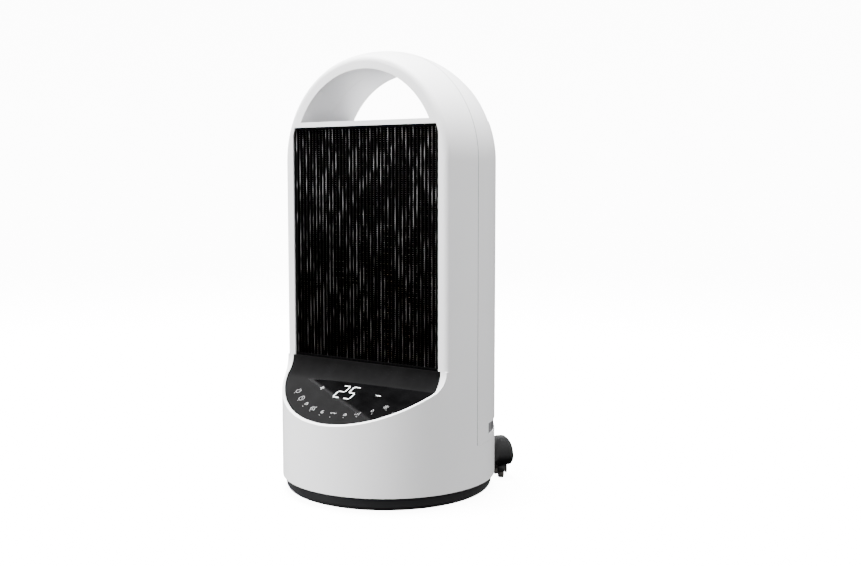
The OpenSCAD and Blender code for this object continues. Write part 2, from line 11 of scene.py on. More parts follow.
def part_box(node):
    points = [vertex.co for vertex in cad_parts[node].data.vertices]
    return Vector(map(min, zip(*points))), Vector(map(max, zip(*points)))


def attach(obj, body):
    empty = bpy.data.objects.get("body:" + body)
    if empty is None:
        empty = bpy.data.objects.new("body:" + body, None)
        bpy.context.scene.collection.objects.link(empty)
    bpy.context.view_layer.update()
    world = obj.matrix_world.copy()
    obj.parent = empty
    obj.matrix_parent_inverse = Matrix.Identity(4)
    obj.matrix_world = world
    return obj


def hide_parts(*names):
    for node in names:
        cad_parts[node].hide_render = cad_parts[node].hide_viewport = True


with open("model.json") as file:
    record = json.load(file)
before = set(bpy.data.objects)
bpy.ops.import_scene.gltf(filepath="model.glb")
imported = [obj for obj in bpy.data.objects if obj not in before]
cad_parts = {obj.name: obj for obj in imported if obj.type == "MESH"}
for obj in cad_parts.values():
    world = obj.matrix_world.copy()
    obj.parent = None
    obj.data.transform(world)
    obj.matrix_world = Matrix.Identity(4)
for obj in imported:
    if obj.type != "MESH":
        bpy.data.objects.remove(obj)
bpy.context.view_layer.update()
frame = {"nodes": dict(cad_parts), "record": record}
nodes = frame["nodes"]

MM = 0.001


# ---------------------------------------------------------------- camera

def add_camera():
    """The view from the front right, a little above the panel."""
    data = bpy.data.cameras.new("camera")
    data.sensor_width = 36
    data.lens = 46.706
    camera = bpy.data.objects.new("camera", data)
    camera.location = (0.6352, -0.8270, 0.28936)
    camera.rotation_euler = (math.radians(90 - 5.36), 0, math.radians(37.53 - 2.17))
    bpy.context.scene.collection.objects.link(camera)
    bpy.context.scene.camera = camera


# ---------------------------------------------------------------- mesh helpers

def add_object(name, data):
    """Puts new data into the scene under a name."""
    piece = bpy.data.objects.new(name, data)
    bpy.context.scene.collection.objects.link(piece)
    return piece


def add_mesh(name, bm, smooth=True):
    """Turns a bmesh into an object whose faces point outwards."""
    bmesh.ops.recalc_face_normals(bm, faces=bm.faces)
    mesh = bpy.data.meshes.new(name)
    bm.to_mesh(mesh)
    bm.free()
    mesh.polygons.foreach_set("use_smooth", [smooth] * len(mesh.polygons))
    return add_object(name, mesh)


def bevel(piece, width, segments=2, angle=35, weld=False):
    """Rounds the sharp edges of a piece with a modifier."""
    if weld:
        join = piece.modifiers.new("weld", "WELD")
        join.merge_threshold = 0.01 * MM
    rounding = piece.modifiers.new("bevel", "BEVEL")
    rounding.width = width
    rounding.segments = segments
    rounding.limit_method = "ANGLE"
    rounding.angle_limit = math.radians(angle)
    rounding.use_clamp_overlap = True
    rounding.harden_normals = not weld
    if weld:
        shading = piece.modifiers.new("even shading", "WEIGHTED_NORMAL")
        shading.keep_sharp = True
        shading.weight = 80


def dress(piece, material):
    """Leaves a piece with this one material."""
    piece.data.materials.clear()
    piece.data.materials.append(material)


def place(piece, body, slot, *replaced):
    """Sets a piece's material from its slot, and says what it rides on and replaces."""
    dress(piece, MATERIALS[slot])
    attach(piece, body)
    if replaced:
        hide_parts(*replaced)
    return piece


def rounded_box_ring(half_x, half_y, corner, steps=6):
    """Outline of a rectangle with round corners, counter-clockwise."""
    points = []
    for k, (sx, sy) in enumerate(((1, 1), (-1, 1), (-1, -1), (1, -1))):
        for i in range(steps + 1):
            turn = math.radians(90 * k + 90 * i / steps)
            points.append((sx * (half_x - corner) + corner * math.cos(turn),
                           sy * (half_y - corner) + corner * math.sin(turn)))
    return points


def loft(bm, rings, close_ends=True, wrap=False):
    """Skins a list of rings that have the same number of points."""
    rows = [[bm.verts.new(p) for p in ring] for ring in rings]
    count = len(rows[0])
    spans = list(zip(rows, rows[1:])) + ([(rows[-1], rows[0])] if wrap else [])
    for low, high in spans:
        for i in range(count):
            j = (i + 1) % count
            bm.faces.new((low[i], low[j], high[j], high[i]))
    if close_ends and not wrap:
        bm.faces.new(rows[0][::-1])
        bm.faces.new(rows[-1])
    return rows


def lathe(bm, profile, matrix, sides=40):
    """Turns a profile of (radius, height) points about the local Z axis, closed at both ends."""
    turns = [2 * math.pi * i / sides for i in range(sides)]
    loft(bm, [[matrix @ Vector((radius * math.cos(a), radius * math.sin(a), height)) for a in turns]
              for radius, height in profile])


def arc(cx, cy, r, start, end, steps=10):
    """Points along a circle between two angles in degrees."""
    turns = [math.radians(start + (end - start) * i / steps) for i in range(steps + 1)]
    return [(cx + r * math.cos(a), cy + r * math.sin(a)) for a in turns]


# ---------------------------------------------------------------- materials

def principled(name):
    """A new material with its tree, its shader and its object coordinates."""
    material = bpy.data.materials.new(name)
    material.use_nodes = True
    tree = material.node_tree
    shader = tree.nodes["Principled BSDF"]
    coordinates = tree.nodes.new("ShaderNodeTexCoord").outputs["Object"]
    return material, tree, shader, coordinates


def noise(tree, vector, size, detail=3.0, stretch=(1, 1, 1)):
    """Noise whose features are about size across, drawn out by stretch along each axis."""
    mapping = tree.nodes.new("ShaderNodeMapping")
    mapping.inputs["Scale"].default_value = [1 / s for s in stretch]
    tree.links.new(vector, mapping.inputs["Vector"])
    texture = tree.nodes.new("ShaderNodeTexNoise")
    texture.inputs["Scale"].default_value = 1 / size
    texture.inputs["Detail"].default_value = detail
    tree.links.new(mapping.outputs["Vector"], texture.inputs["Vector"])
    return texture.outputs["Fac"]


def remap(tree, value, low, high, from_low=0.3, from_high=0.7):
    """Stretches a value from one range onto another."""
    node = tree.nodes.new("ShaderNodeMapRange")
    node.inputs["From Min"].default_value = from_low
    node.inputs["From Max"].default_value = from_high
    node.inputs["To Min"].default_value = low
    node.inputs["To Max"].default_value = high
    tree.links.new(value, node.inputs["Value"])
    return node.outputs["Result"]


def shades(tree, value, dark, light, start=0.35, end=0.65):
    """Colours from dark to light, driven by a value."""
    ramp = tree.nodes.new("ShaderNodeValToRGB")
    ramp.color_ramp.elements[0].position = start
    ramp.color_ramp.elements[0].color = (*dark, 1)
    ramp.color_ramp.elements[1].position = end
    ramp.color_ramp.elements[1].color = (*light, 1)
    tree.links.new(value, ramp.inputs["Fac"])
    return ramp.outputs["Color"]


def bump(tree, shader, height, depth, strength=1.0):
    """Relief of the given depth in the surface's normals."""
    node = tree.nodes.new("ShaderNodeBump")
    node.inputs["Strength"].default_value = strength
    node.inputs["Distance"].default_value = depth
    tree.links.new(height, node.inputs["Height"])
    tree.links.new(node.outputs["Normal"], shader.inputs["Normal"])


def moulded(name, colour, roughness, texture, relief, tint, spread, specular=0.5):
    """Injection-moulded plastic or rubber: a fine spark-eroded texture, slight tone and gloss changes."""
    material, tree, shader, where = principled(name)
    cloud = noise(tree, where, 60 * MM, 4)
    dark = [c * (1 - tint) for c in colour]
    light = [min(1, c * (1 + tint)) for c in colour]
    tree.links.new(shades(tree, cloud, dark, light), shader.inputs["Base Color"])
    tree.links.new(remap(tree, noise(tree, where, 9 * MM, 5), roughness - spread, roughness + spread),
                   shader.inputs["Roughness"])
    bump(tree, shader, noise(tree, where, texture, 2), relief)
    shader.inputs["Specular IOR Level"].default_value = specular
    return material


def metal(name, colour, roughness, stretch=(1, 1, 12), tint=0.08):
    """Drawn or plated metal with fine lines along one axis."""
    material, tree, shader, where = principled(name)
    lines = noise(tree, where, 0.35 * MM, 3, stretch)
    tree.links.new(shades(tree, noise(tree, where, 12 * MM, 4), [c * (1 - tint) for c in colour], colour),
                   shader.inputs["Base Color"])
    tree.links.new(remap(tree, lines, roughness - 0.08, roughness + 0.1), shader.inputs["Roughness"])
    bump(tree, shader, lines, 0.012 * MM)
    shader.inputs["Metallic"].default_value = 1.0
    return material


def painted_glint_edge(name):
    """Black moulding whose narrow edges carry a painted highlight in short staggered lengths, where they are
    also glossier.
    """
    material, tree, shader, where = principled(name)
    painted_glint_dashes = noise(tree, where, 3.2 * MM, 1, (1, 1, 6))
    # Painted highlight: the base colour goes from black to light grey in short dashes drawn out along the
    # slats.
    tree.links.new(shades(tree, painted_glint_dashes, (0.002, 0.002, 0.002), (0.11, 0.11, 0.112), 0.5, 0.66),
                   shader.inputs["Base Color"])
    tree.links.new(remap(tree, painted_glint_dashes, 0.5, 0.3, 0.5, 0.65), shader.inputs["Roughness"])
    bump(tree, shader, noise(tree, where, 0.4 * MM, 2), 0.01 * MM)
    shader.inputs["Specular IOR Level"].default_value = 0.1
    return material


def gloss_panel(name):
    """Black in-mould decorated panel: smooth, with a faint waviness and faint finger marks."""
    material, tree, shader, where = principled(name)
    smear = noise(tree, where, 14 * MM, 6)
    tree.links.new(shades(tree, smear, (0.0015, 0.0015, 0.0016), (0.003, 0.003, 0.0032)),
                   shader.inputs["Base Color"])
    tree.links.new(remap(tree, smear, 0.045, 0.085), shader.inputs["Roughness"])
    bump(tree, shader, noise(tree, where, 25 * MM, 1), 0.01 * MM, 0.5)
    shader.inputs["Specular IOR Level"].default_value = 0.155
    return material


def heated_fins(name):
    """Aluminium fins with darker upright streaks where the heating stones have tinted them."""
    material, tree, shader, where = principled(name)
    streaks = noise(tree, where, 2.2 * MM, 2, (1, 4, 9))
    tree.links.new(shades(tree, streaks, (0.06, 0.06, 0.065), (0.82, 0.82, 0.84), 0.44, 0.58),
                   shader.inputs["Base Color"])
    tree.links.new(remap(tree, noise(tree, where, 3 * MM, 4), 0.3, 0.5), shader.inputs["Roughness"])
    bump(tree, shader, noise(tree, where, 0.6 * MM, 2), 0.02 * MM)
    shader.inputs["Metallic"].default_value = 0.6
    return material


def circuit_board(name):
    """Green solder mask over copper tracks."""
    material, tree, shader, where = principled(name)
    tracks = tree.nodes.new("ShaderNodeTexBrick")
    tracks.inputs["Scale"].default_value = 90
    tracks.inputs["Mortar Size"].default_value = 0.03
    tracks.inputs["Color1"].default_value = (0.012, 0.075, 0.035, 1)
    tracks.inputs["Color2"].default_value = (0.016, 0.10, 0.045, 1)
    tracks.inputs["Mortar"].default_value = (0.05, 0.20, 0.08, 1)
    tree.links.new(where, tracks.inputs["Vector"])
    tree.links.new(tracks.outputs["Color"], shader.inputs["Base Color"])
    tree.links.new(remap(tree, noise(tree, where, 4 * MM), 0.28, 0.42), shader.inputs["Roughness"])
    bump(tree, shader, tracks.outputs["Fac"], 0.03 * MM)
    return material


def woven_net(name):
    """Dust net of dark threads, dusty along the threads."""
    material, tree, shader, where = principled(name)
    dust = noise(tree, where, 5 * MM, 5)
    tree.links.new(shades(tree, dust, (0.02, 0.02, 0.022), (0.06, 0.06, 0.062)),
                   shader.inputs["Base Color"])
    tree.links.new(remap(tree, dust, 0.6, 0.85), shader.inputs["Roughness"])
    bump(tree, shader, noise(tree, where, 0.25 * MM, 2), 0.03 * MM)
    shader.inputs["Sheen Weight"].default_value = 0.15
    return material


def glowing_print(name, glow):
    """White light-guide print of the panel's marks, a little uneven in brightness."""
    material, tree, shader, where = principled(name)
    uneven = noise(tree, where, 3 * MM, 3)
    tree.links.new(shades(tree, uneven, [0.8 * glow] * 3, [0.9 * glow] * 3), shader.inputs["Base Color"])
    tree.links.new(remap(tree, uneven, 0.35, 0.5), shader.inputs["Roughness"])
    shader.inputs["Emission Color"].default_value = (0.95, 0.97, 1, 1)
    shader.inputs["Emission Strength"].default_value = glow
    return material


# Colour, roughness, size and depth of the texture, change of tone and of roughness, specular level.
MOULDED = {
    "shell_white": ((0.82, 0.82, 0.83), 0.36, 0.5 * MM, 0.006 * MM, 0.012, 0.05),
    "foot_black": ((0.018, 0.018, 0.019), 0.5, 0.45 * MM, 0.02 * MM, 0.12, 0.07, 0.2),
    "rubber": ((0.02, 0.02, 0.02), 0.8, 0.7 * MM, 0.03 * MM, 0.15, 0.06, 0.3),
    "grille_black": ((0.0012, 0.0012, 0.0013), 0.5, 0.4 * MM, 0.008 * MM, 0.15, 0.06, 0.015),
    "inner_grey": ((0.06, 0.06, 0.063), 0.6, 0.6 * MM, 0.03 * MM, 0.1, 0.06, 0.4),
    "vent_grey": ((0.17, 0.17, 0.175), 0.55, 0.5 * MM, 0.02 * MM, 0.08, 0.06, 0.4),
    "ivory": ((0.72, 0.69, 0.60), 0.42, 0.6 * MM, 0.01 * MM, 0.04, 0.06),
    "cord_black": ((0.010, 0.010, 0.011), 0.44, 0.8 * MM, 0.012 * MM, 0.12, 0.06, 0.4),
    "plug_black": ((0.008, 0.008, 0.0085), 0.34, 0.45 * MM, 0.01 * MM, 0.1, 0.06, 0.4),
}
# Colour, roughness, which axis the lines run along, change of tone.
METALS = {
    "steel": ((0.55, 0.55, 0.56), 0.34),
    "screw_steel": ((0.60, 0.60, 0.61), 0.28, (1, 1, 1)),
    "zinc_sheet": ((0.62, 0.63, 0.64), 0.42, (6, 1, 6), 0.16),
    "bush_brass": ((0.72, 0.55, 0.25), 0.38, (1, 1, 1), 0.15),
    "pin_brass": ((0.14, 0.13, 0.12), 0.3, (1, 1, 8), 0.12),
}
MATERIALS = {slot: moulded(slot, *look) for slot, look in MOULDED.items()}
MATERIALS.update({slot: metal(slot, *look) for slot, look in METALS.items()})
MATERIALS["panel_gloss"] = gloss_panel("panel_gloss")
MATERIALS["board"] = circuit_board("board")
MATERIALS["fin_aluminium"] = heated_fins("fin_aluminium")
MATERIALS["filter_net"] = woven_net("filter_net")
PRINT = glowing_print("panel_digit_print", 0.95)
DIM_PRINT = glowing_print("panel_icon_print", 0.35)
PAINTED_GLINT = painted_glint_edge("slat_edge")

# How far the visible CAD nodes' edges are rounded.
ROUNDED = {
    "front_shell": 0.7 * MM, "rear_shell": 0.5 * MM, "filter_cover": 0.4 * MM, "base_foot": 0.5 * MM,
    "rocker_frame": 0.5 * MM, "power_rocker": 0.5 * MM, "rubber_feet": 0.5 * MM,
    "filter_mesh": 0.2 * MM, "tilt_plunger": 0.4 * MM,
}


def dress_cad():
    """Every CAD node takes its slot's material, and the outer ones get rounded edges."""
    for part in frame["record"]["subparts"]:
        dress(nodes[part["node"]], MATERIALS[part["material_slot"]])
    for name, width in ROUNDED.items():
        bevel(nodes[name], width, weld=True)


# ---------------------------------------------------------------- mains lead

CORD_D = 7 * MM
COIL_AT = Vector((-0.063, 0.158))
COIL_OUTER = 50 * MM
COIL_START, COIL_TURNED = 6, 2104  # degrees: where the coil begins, and six turns less the 56 left open
COIL_INWARD = COIL_TURNED / 2 / 360 * CORD_D
COIL_STEPS = 150
# From the gland down to the floor and into the coil, then off the coil's top to the plug.
LEAD_ROUTE = [
    (0, 0.124, 0.0066), (0, 0.130, 0.0062), (-0.001, 0.136, 0.0056), (-0.003, 0.142, 0.0045),
    (-0.006, 0.149, 0.0038), (-0.010, 0.156, 0.0036),
]
TAIL_ROUTE = [
    (-0.0246, 0.1245, 0.0111), (-0.0175, 0.1278, 0.0122), (-0.010, 0.1298, 0.0133), (-0.002, 0.1305, 0.0138),
    (0.006, 0.1298, 0.0134), (0.0133, 0.1278, 0.0124), (0.0204, 0.1245, 0.0113), (0.0268, 0.1203, 0.0107),
    (0.033, 0.1163, 0.0111), (0.0394, 0.1121, 0.0129), (0.0455, 0.1074, 0.016),
]


def smoothstep(t):
    """An even rise from 0 to 1 that starts and ends gently."""
    t = min(1, max(0, t))
    return t * t * (3 - 2 * t)


def coil_route():
    """Turns that wind inwards on the floor, climb one diameter, and wind outwards on top."""
    climb = 100 / COIL_TURNED
    points = []
    for i in range(COIL_STEPS + 1):
        t = i / COIL_STEPS
        angle = math.radians(COIL_START + COIL_TURNED * t)
        radius = COIL_OUTER - COIL_INWARD * (1 - abs(2 * t - 1))
        z = CORD_D * (0.5 + smoothstep((t - 0.5) / climb + 0.5)) + 0.1 * MM
        points.append((COIL_AT.x + radius * math.cos(angle), COIL_AT.y + radius * math.sin(angle), z))
    return points


def flowing(points, steps=4):
    """A smooth line through the points."""
    line = [Vector(p) for p in points]
    line = [2 * line[0] - line[1]] + line + [2 * line[-1] - line[-2]]
    result = []
    for a, b, c, d in zip(line, line[1:], line[2:], line[3:]):
        for i in range(steps):
            t = i / steps
            result.append(0.5 * (2 * b + (c - a) * t + (2 * a - 5 * b + 4 * c - d) * t * t
                                 + (3 * b - a - 3 * c + d) * t ** 3))
    return result + [line[-2]]


def add_cord():
    """The lead as one round curve from the gland to the plug, and its length."""
    curve = bpy.data.curves.new("mains_lead", "CURVE")
    curve.dimensions = "3D"
    curve.bevel_depth = CORD_D / 2
    curve.bevel_resolution = 5
    curve.use_fill_caps = True
    line = flowing(LEAD_ROUTE + coil_route() + TAIL_ROUTE)
    spline = curve.splines.new("POLY")
    spline.points.add(len(line) - 1)
    for point, at in zip(spline.points, line):
        point.co = (*at, 1)
    spline.use_smooth = True
    cord = add_object("mains_lead", curve)
    length = sum((b - a).length for a, b in zip(line, line[1:]))
    return place(cord, "base", "cord_black", "cord_lead", "cord_coil", "cord_tail"), length


def add_coil_tie():
    """Hook-and-loop strap round the coil's turns, on the side away from the heater."""
    bm = bmesh.new()
    strap = 0.6 * MM
    low, high = CORD_D * 0.02, 2 * CORD_D + strap
    half_w, half_h = COIL_INWARD / 2 + CORD_D / 2 + strap, (high - low) / 2
    middle = COIL_OUTER - COIL_INWARD / 2
    outline = rounded_box_ring(half_w, half_h, 3.2 * MM)
    inner = rounded_box_ring(half_w - strap, half_h - strap, 2.7 * MM)
    turn = (Matrix.Translation((COIL_AT.x, COIL_AT.y, (high + low) / 2))
            @ Matrix.Rotation(math.radians(115), 4, "Z"))
    edges = ((-6 * MM, inner), (-6.5 * MM, outline), (6.5 * MM, outline), (6 * MM, inner))
    loft(bm, [[turn @ Vector((middle + x, along, z)) for x, z in section] for along, section in edges],
         wrap=True)
    tie = add_mesh("coil_tie", bm)
    bevel(tie, 0.15 * MM)
    return place(tie, "base", "rubber")


def ribbed_relief(bm, matrix, length, start_r, end_r, ribs):
    """Tapered strain relief: round ribs with grooves between them."""
    profile = [(start_r * 0.5, 0), (start_r, 0)]
    for i in range(ribs):
        r0 = start_r + (end_r - start_r) * i / ribs
        r1 = start_r + (end_r - start_r) * (i + 1) / ribs
        z0, step = length * i / ribs, length / ribs
        profile += [(r0, z0 + 0.08 * step), (r0 * 0.995, z0 + 0.5 * step), (r0 * 0.95, z0 + 0.58 * step),
                    (r1 * 0.80, z0 + 0.66 * step), (r1 * 0.80, z0 + 0.92 * step), (r1 * 0.95, z0 + step)]
    profile += [(end_r, length - 0.3 * MM), (end_r * 0.92, length), (CORD_D / 2 * 0.8, length)]
    lathe(bm, profile, matrix, 32)


def add_gland():
    """Strain relief in the foot's back, on the CAD gland's axis."""
    low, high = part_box("cord_gland")
    axis_z = (low.z + high.z) / 2
    backwards = Matrix.Rotation(math.radians(-90), 4, "X")
    inside = 9 * MM
    bm = bmesh.new()
    lathe(bm, [(2 * MM, 0), (4.9 * MM, 0), (5 * MM, 0.2 * MM), (5 * MM, 2.2 * MM), (4.5 * MM, 2.4 * MM),
               (4.5 * MM, inside), (2 * MM, inside)], Matrix.Translation((0, low.y, axis_z)) @ backwards)
    ribbed_relief(bm, Matrix.Translation((0, low.y + inside, axis_z)) @ backwards,
                  high.y - low.y - inside, 5.5 * MM, 3.95 * MM, 6)
    return place(add_mesh("lead_strain_relief", bm), "base", "cord_black", "cord_gland")


# ---------------------------------------------------------------- mains plug

PLUG_TURN = math.radians(50)
PLUG_OUT = 111.5 * MM
PLUG_AT = Vector((PLUG_OUT * math.cos(PLUG_TURN), PLUG_OUT * math.sin(PLUG_TURN), 13 * MM))
PLUG_FRAME = Matrix.Translation(PLUG_AT) @ Matrix.Rotation(PLUG_TURN, 4, "Z")


def add_plug():
    """Moulded rewire-free plug: a rounded grip with finger grooves, standing on its pins."""
    bm = bmesh.new()
    # Millimetres: height above the pins' face, half width, half length, corner radius.
    sections = [(0, 7.6, 9.6, 3), (0.6, 8.2, 10.4, 3.4), (3, 9, 12.4, 4), (5.5, 9.4, 14.1, 4.2),
                (8, 9.5, 15, 4.2), (10.5, 9.5, 15, 4.4), (14, 9.3, 14.5, 4.6), (17.5, 8.8, 13.6, 4.8),
                (20.5, 8, 12.2, 4.8), (23, 6.9, 10.4, 4.6), (24.8, 5.7, 8.5, 4.2), (25.8, 4.6, 6.9, 3.6),
                (26.2, 3.2, 5.2, 2.6)]
    loft(bm, [[PLUG_FRAME @ Vector((x * MM, y * MM, z * MM)) for x, y in rounded_box_ring(hx, hy, corner, 7)]
              for z, hx, hy, corner in sections])
    body = add_mesh("plug_grip", bm)
    place(body, "base", "plug_black", "plug_body")
    ribs = bmesh.new()
    bead = [(0.2, -5), (0.9, -4.6), (1.2, -3.8), (1.2, 3.8), (0.9, 4.6), (0.2, 5)]
    for side in (-1, 1):
        for k in range(4):
            at = Vector((side * 9.3 * MM, (-7.5 + 5 * k) * MM, 10 * MM))
            matrix = PLUG_FRAME @ Matrix.Translation(at) @ Matrix.Diagonal((0.55, 1, 1, 1))
            lathe(ribs, [(r * MM, z * MM) for r, z in bead], matrix, 14)
    place(add_mesh("plug_grip_ribs", ribs), "base", "plug_black")
    relief = bmesh.new()
    tilt = Matrix.Translation((0, 13 * MM, 10 * MM)) @ Matrix.Rotation(math.radians(-110), 4, "X")
    ribbed_relief(relief, PLUG_FRAME @ tilt, 24 * MM, 6 * MM, 3.9 * MM, 6)
    place(add_mesh("plug_strain_relief", relief), "base", "plug_black")
    return body


def blade(bm, at, turn, length, width, thick, taper):
    """One flat plug pin, narrowed at its tip."""
    matrix = PLUG_FRAME @ Matrix.Translation((*at, 0)) @ Matrix.Rotation(turn, 4, "Z")
    levels = ((0, 1), (-length + taper, 1), (-length + 0.4 * taper, 0.9), (-length, 0.62))
    half_w, half_t, corner = width / 2, thick / 2, thick * 0.18
    loft(bm, [[matrix @ Vector((x, y, z)) for x, y in rounded_box_ring(half_w * k, half_t * k, corner, 2)]
              for z, k in levels])


def add_plug_pins():
    """Two angled live pins with insulating sleeves, and an earth pin."""
    pins, sleeves = bmesh.new(), bmesh.new()
    pin = {"width": 6.3 * MM, "thick": 1.6 * MM, "taper": 2.5 * MM}
    for side in (-1, 1):
        at, turn = (-2 * MM, side * 7 * MM), side * math.radians(30)
        blade(pins, at, turn, 13 * MM, **pin)
        blade(sleeves, at, turn, 7.5 * MM, width=6.7 * MM, thick=2 * MM, taper=0.4 * MM)
    blade(pins, (5 * MM, 0), math.radians(90), 10 * MM, **pin)
    place(add_mesh("plug_sleeves", sleeves), "base", "plug_black")
    return place(add_mesh("plug_blades", pins), "base", "pin_brass", "plug_pins")


# ---------------------------------------------------------------- outlet grille

def slat_ring(x, y_front, z, depth, thick):
    """Section of one upright slat: round at the front, tapering to the back."""
    half = thick / 2
    section = [(x + half * math.cos(math.radians(a)), y_front + half - half * math.sin(math.radians(a)))
               for a in range(0, 181, 30)]
    section += [(x - half * 0.65, y_front + depth), (x + half * 0.65, y_front + depth)]
    return [Vector((px, py, z)) for px, py in section]


GRILLE_LOW, GRILLE_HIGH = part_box("front_grille")
GRILLE_HALF = (GRILLE_HIGH.x - GRILLE_LOW.x) / 2
ARCH_R, ARCH_Z = 86.9 * MM, 0.305
SLAT_PITCH, SLAT_THICK, SLAT_DEPTH = 4 * MM, 1.5 * MM, 3.1 * MM
GRILLE_RIM = 2.2 * MM
SLATS_A_SIDE = int((GRILLE_HALF - GRILLE_RIM) / SLAT_PITCH)
SLATS_AT = [i * SLAT_PITCH for i in range(-SLATS_A_SIDE, SLATS_A_SIDE + 1)]


def arch_at(x):
    """Height of the outlet's arched top at a distance from the middle."""
    return min(GRILLE_HIGH.z, ARCH_Z + math.sqrt(ARCH_R ** 2 - x * x))


def eight_round(radius):
    """Eight points round a circle."""
    return [(radius * math.cos(k * math.pi / 4), radius * math.sin(k * math.pi / 4)) for k in range(8)]


def rim_outline(inset):
    """Outline of the slim frame round the slats, arched at the top."""
    half, radius = GRILLE_HALF - inset, ARCH_R - inset
    right = arc(0, ARCH_Z, radius, math.degrees(math.acos(half / radius)),
                math.degrees(math.asin((GRILLE_HIGH.z - inset - ARCH_Z) / radius)), 6)
    foot = GRILLE_LOW.z - 0.45 * MM + inset * 1.2
    return [(half, foot)] + right + [(-x, z) for x, z in right[::-1]] + [(-half, foot)]


def add_slats():
    """Upright slats between a slim frame, with two thin ties behind them."""
    low, high, rim = GRILLE_LOW, GRILLE_HIGH, GRILLE_RIM
    bm = bmesh.new()
    for x in SLATS_AT:
        loft(bm, [slat_ring(x, low.y + 0.3 * MM, z, SLAT_DEPTH, SLAT_THICK)
                  for z in (low.z + rim * 0.7, arch_at(x) - rim * 0.7)])
    for z in (low.z + 72 * MM, low.z + 144 * MM):
        y = low.y + SLAT_DEPTH - 0.2 * MM
        loft(bm, [[Vector((x, y + 0.6 * b, z + 0.8 * a)) for a, b in eight_round(MM)]
                  for x in (-GRILLE_HALF + rim * 0.6, GRILLE_HALF - rim * 0.6)])
    edge = 0.5 * MM
    sections = [(0, low.y + edge), (edge, low.y), (rim - edge, low.y), (rim, low.y + edge),
                (rim, high.y), (0, high.y)]
    loft(bm, [[Vector((x, y, z)) for x, z in rim_outline(inset)] for inset, y in sections], wrap=True)
    place(add_mesh("outlet_slats", bm), "body", "grille_black", "front_grille")


def add_guard():
    """Level bars close together behind the slats, so that nothing shows through the outlet."""
    y, half_bar, half_deep = GRILLE_HIGH.y - 0.35 * MM, 0.78 * MM, 0.3 * MM
    height = GRILLE_HIGH.z - GRILLE_LOW.z - 2 * GRILLE_RIM
    bars = int(height / (1.9 * MM))
    bm = bmesh.new()
    for k in range(bars + 1):
        z = GRILLE_LOW.z + GRILLE_RIM + height * k / bars
        reach = min(GRILLE_HALF, math.sqrt(ARCH_R ** 2 - max(0, z - ARCH_Z) ** 2)) - GRILLE_RIM * 0.6
        section = [(y - half_deep, z - half_bar), (y - half_deep, z + half_bar),
                   (y + half_deep, z + half_bar), (y + half_deep, z - half_bar)]
        loft(bm, [[Vector((x, *point)) for point in section] for x in (-reach, reach)])
    place(add_mesh("outlet_guard", bm, smooth=False), "body", "grille_black")


def add_slat_edges():
    """Bead down the front of each slat, and one along the foot of the outlet, with a painted highlight in
    short dashes.
    """
    low, rim = GRILLE_LOW, GRILLE_RIM
    bm = bmesh.new()
    for x in SLATS_AT:
        loft(bm, [[Vector((x + a, low.y + 0.42 * MM + b, z)) for a, b in eight_round(0.32 * MM)]
                  for z in (low.z + rim, arch_at(x) - rim)])
    loft(bm, [[Vector((x, low.y + 0.45 * MM + a, low.z + 0.6 * MM + b)) for a, b in eight_round(0.45 * MM)]
              for x in (rim - GRILLE_HALF, GRILLE_HALF - rim)])
    # The slot names the moulding; the bead on it wears its own glossier finish with a painted highlight in
    # short dashes.
    dress(place(add_mesh("slat_edges", bm), "body", "grille_black"), PAINTED_GLINT)


# ---------------------------------------------------------------- console panel

# The console as the CAD has it: its slope, the body's flat face, the hollow curve, and where that curve ends.
SLOPE = math.radians(29)
FACE_Y, FILLET, PANEL_TOP = -38 * MM, 22 * MM, 121.5 * MM
PANEL_R, PANEL_HALF = 97.35 * MM, 85.75 * MM
UP_SLOPE = Vector((0, math.cos(SLOPE), math.sin(SLOPE)))
ACROSS = Vector((1, 0, 0))
PANEL_NORMAL = Vector((0, -math.sin(SLOPE), math.cos(SLOPE)))


def panel_height(y):
    """Height of the console's surface at a distance from the axis."""
    foot_y = FACE_Y - FILLET + FILLET * math.sin(SLOPE)
    foot_z = PANEL_TOP - FILLET * math.cos(SLOPE)
    if y < foot_y:
        return foot_z + (y - foot_y) * math.tan(SLOPE)
    across = min(FILLET, y - FACE_Y + FILLET)
    return PANEL_TOP - math.sqrt(max(0, FILLET ** 2 - across ** 2))


def panel_outline():
    """The panel seen from above: straight sides, then the round of the body, starting at the top left."""
    turn_y = -math.sqrt(PANEL_R ** 2 - PANEL_HALF ** 2)
    half_turn = math.degrees(math.acos(PANEL_HALF / PANEL_R))
    side_steps, round_steps, top_steps = 10, 110, 40
    left = [(-PANEL_HALF, FACE_Y + (turn_y - FACE_Y) * (i / side_steps) ** 2) for i in range(side_steps)]
    low = arc(0, 0, PANEL_R, 180 + half_turn, 360 - half_turn, round_steps)
    right = [(PANEL_HALF, y) for _, y in left[::-1]]
    upper = [(PANEL_HALF - 2 * PANEL_HALF * i / top_steps, FACE_Y) for i in range(1, top_steps)]
    return left + low + right + upper


def add_panel():
    """One glossy moulding that runs down from the outlet in a hollow curve to the sloping face."""
    outline = [Vector(point) for point in panel_outline()]
    centre = Vector((0, -62 * MM))
    rings = 34
    # The rings shrink towards the centre and lie closer together near the edge.
    around = [[centre + (at - centre) * (1 - (k / rings) ** 1.25) for at in outline] for k in range(rings)]
    bm = bmesh.new()
    rows = loft(bm, [[(at.x, at.y, panel_height(at.y)) for at in ring] for ring in around], close_ends=False)
    middle = bm.verts.new((centre.x, centre.y, panel_height(centre.y)))
    for a, b in zip(rows[-1], rows[-1][1:] + rows[-1][:1]):
        bm.faces.new((a, b, middle))
    panel = add_mesh("console_panel", bm)
    if panel.data.polygons[0].normal.z < 0:
        panel.data.flip_normals()
    shell = panel.modifiers.new("thickness", "SOLIDIFY")
    shell.thickness = 2.4 * MM
    shell.offset = -1
    bevel(panel, 0.45 * MM, 3, 50)
    place(panel, "body", "panel_gloss", "control_panel")


